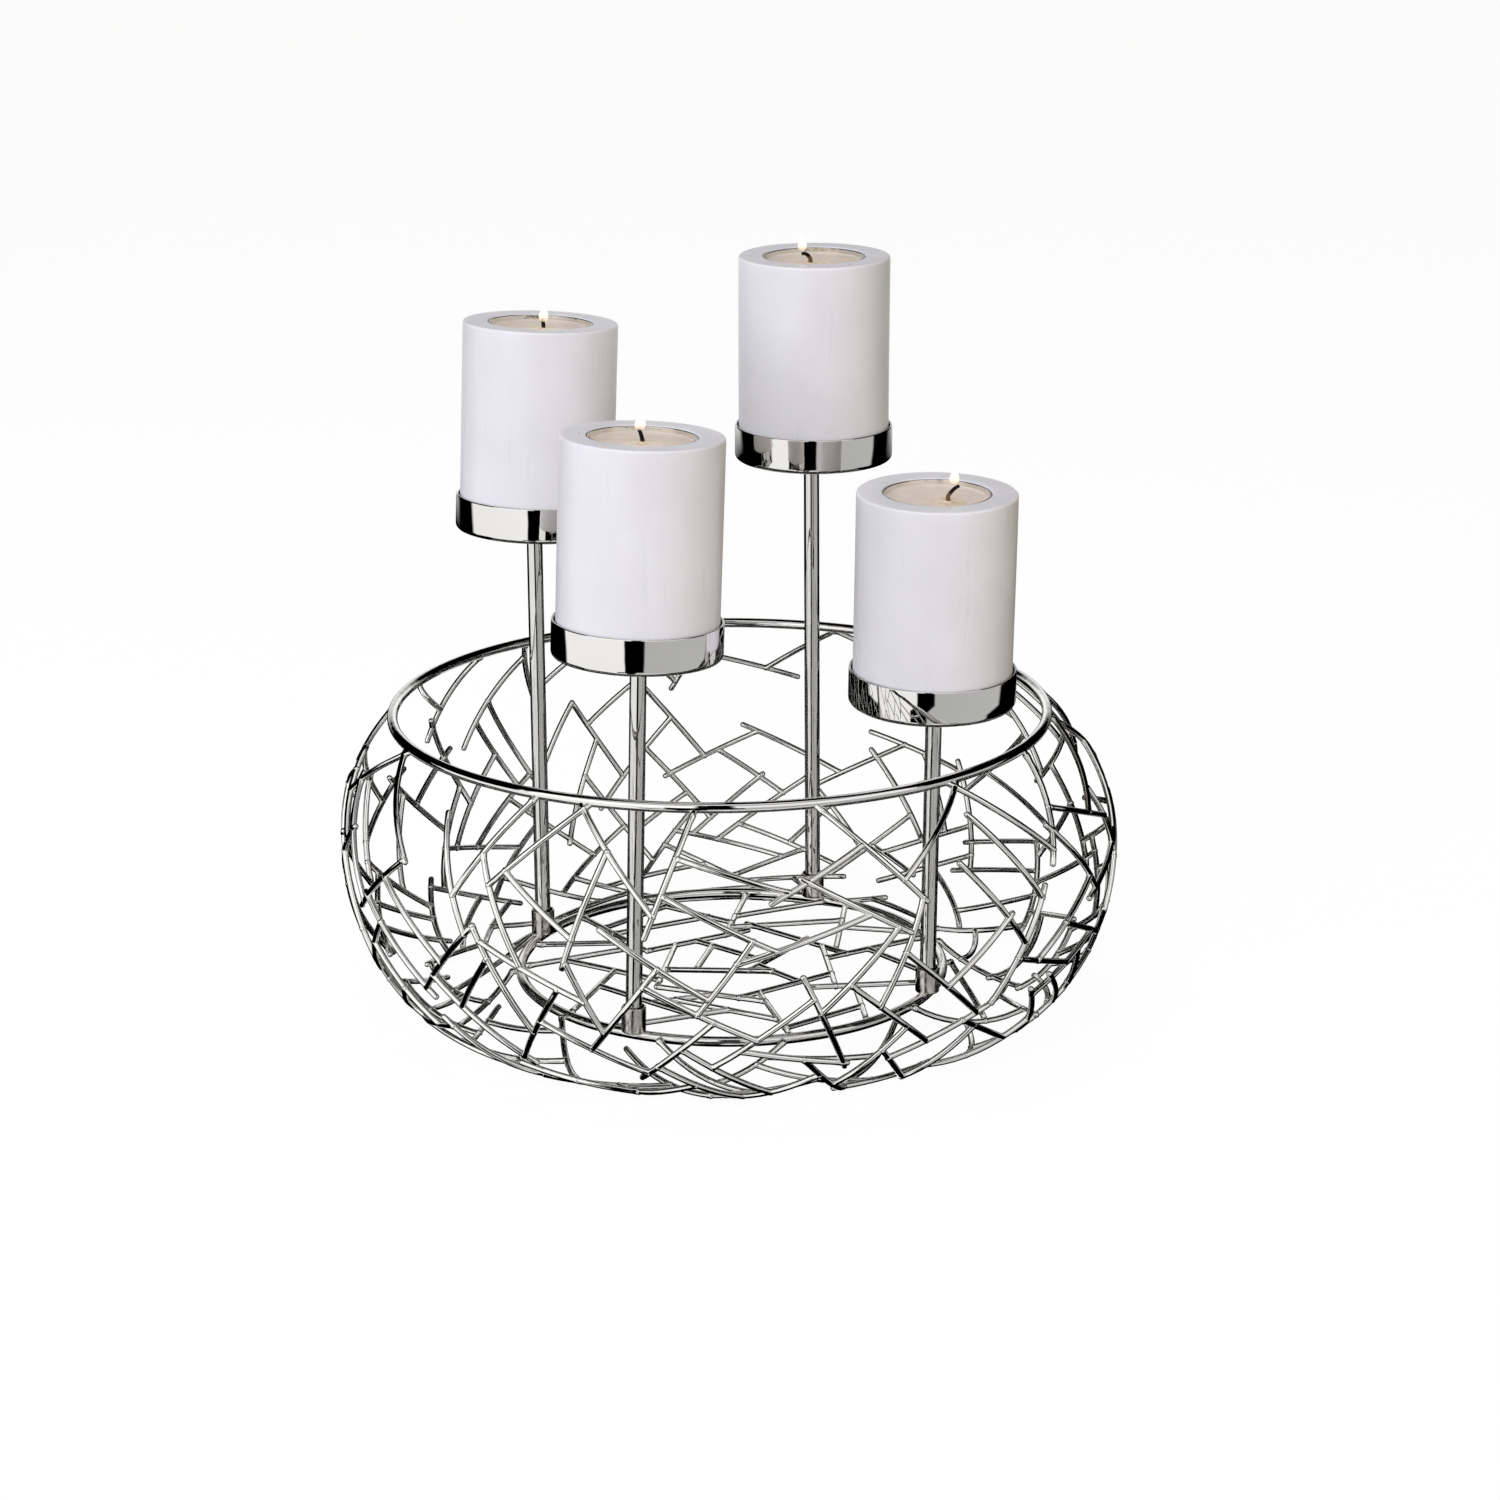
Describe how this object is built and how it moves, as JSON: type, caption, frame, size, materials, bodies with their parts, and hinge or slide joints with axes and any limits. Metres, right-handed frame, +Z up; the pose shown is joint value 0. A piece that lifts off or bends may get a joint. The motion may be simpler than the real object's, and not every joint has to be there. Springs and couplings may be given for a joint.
{
  "type": "metal advent wreath",
  "caption": "Round openwork wreath of short welded wires, with slim stems that carry pillar candles at different heights, a tealight in the top of each.",
  "frame": {"origin": "on the table, in the middle of the wreath's bounding box", "axes": "+Z up; -Y towards the front that the picture shows, with the lowest candle at +X and the left front candle at -X"},
  "size_m": [0.302, 0.3018, 0.2813],
  "materials": {
    "metal": "bright polished nickel plate",
    "candle_wax": "smooth white candle wax",
    "tealight_wax": "warm white wax, softly glossy",
    "tealight_tin": "thin pressed tin, satin",
    "wick": "charred cotton"
  },
  "bodies": {
    "root": {"rim_ring": "metal", "base_ring": "metal", "wall_top_01": "metal", "wall_top_02": "metal", "wall_top_03": "metal", "wall_top_04": "metal", "wall_top_05": "metal", "wall_top_06": "metal", "wall_top_07": "metal", "wall_top_08": "metal", "wall_top_09": "metal", "wall_top_10": "metal", "wall_top_11": "metal", "wall_top_12": "metal", "wall_bottom_01": "metal", "wall_bottom_02": "metal", "wall_bottom_03": "metal", "wall_bottom_04": "metal", "wall_bottom_05": "metal", "wall_bottom_06": "metal", "wall_bottom_07": "metal", "wall_bottom_08": "metal", "wall_bottom_09": "metal", "wall_bottom_10": "metal", "wall_bottom_11": "metal", "wall_bottom_12": "metal", "floor_01": "metal", "floor_02": "metal", "floor_03": "metal", "floor_04": "metal", "socket_01": "metal", "socket_02": "metal", "socket_03": "metal", "socket_04": "metal", "stem_01": "metal", "stem_02": "metal", "stem_03": "metal", "stem_04": "metal", "cup_01": "metal", "cup_02": "metal", "cup_03": "metal", "cup_04": "metal", "candle_01": "candle_wax", "candle_02": "candle_wax", "candle_03": "candle_wax", "candle_04": "candle_wax", "tealight_tin_01": "tealight_tin", "tealight_tin_02": "tealight_tin", "tealight_tin_03": "tealight_tin", "tealight_tin_04": "tealight_tin", "tealight_wax_01": "tealight_wax", "tealight_wax_02": "tealight_wax", "tealight_wax_03": "tealight_wax", "tealight_wax_04": "tealight_wax", "wick_01": "wick", "wick_02": "wick", "wick_03": "wick", "wick_04": "wick"}
  },
  "joints": []
}
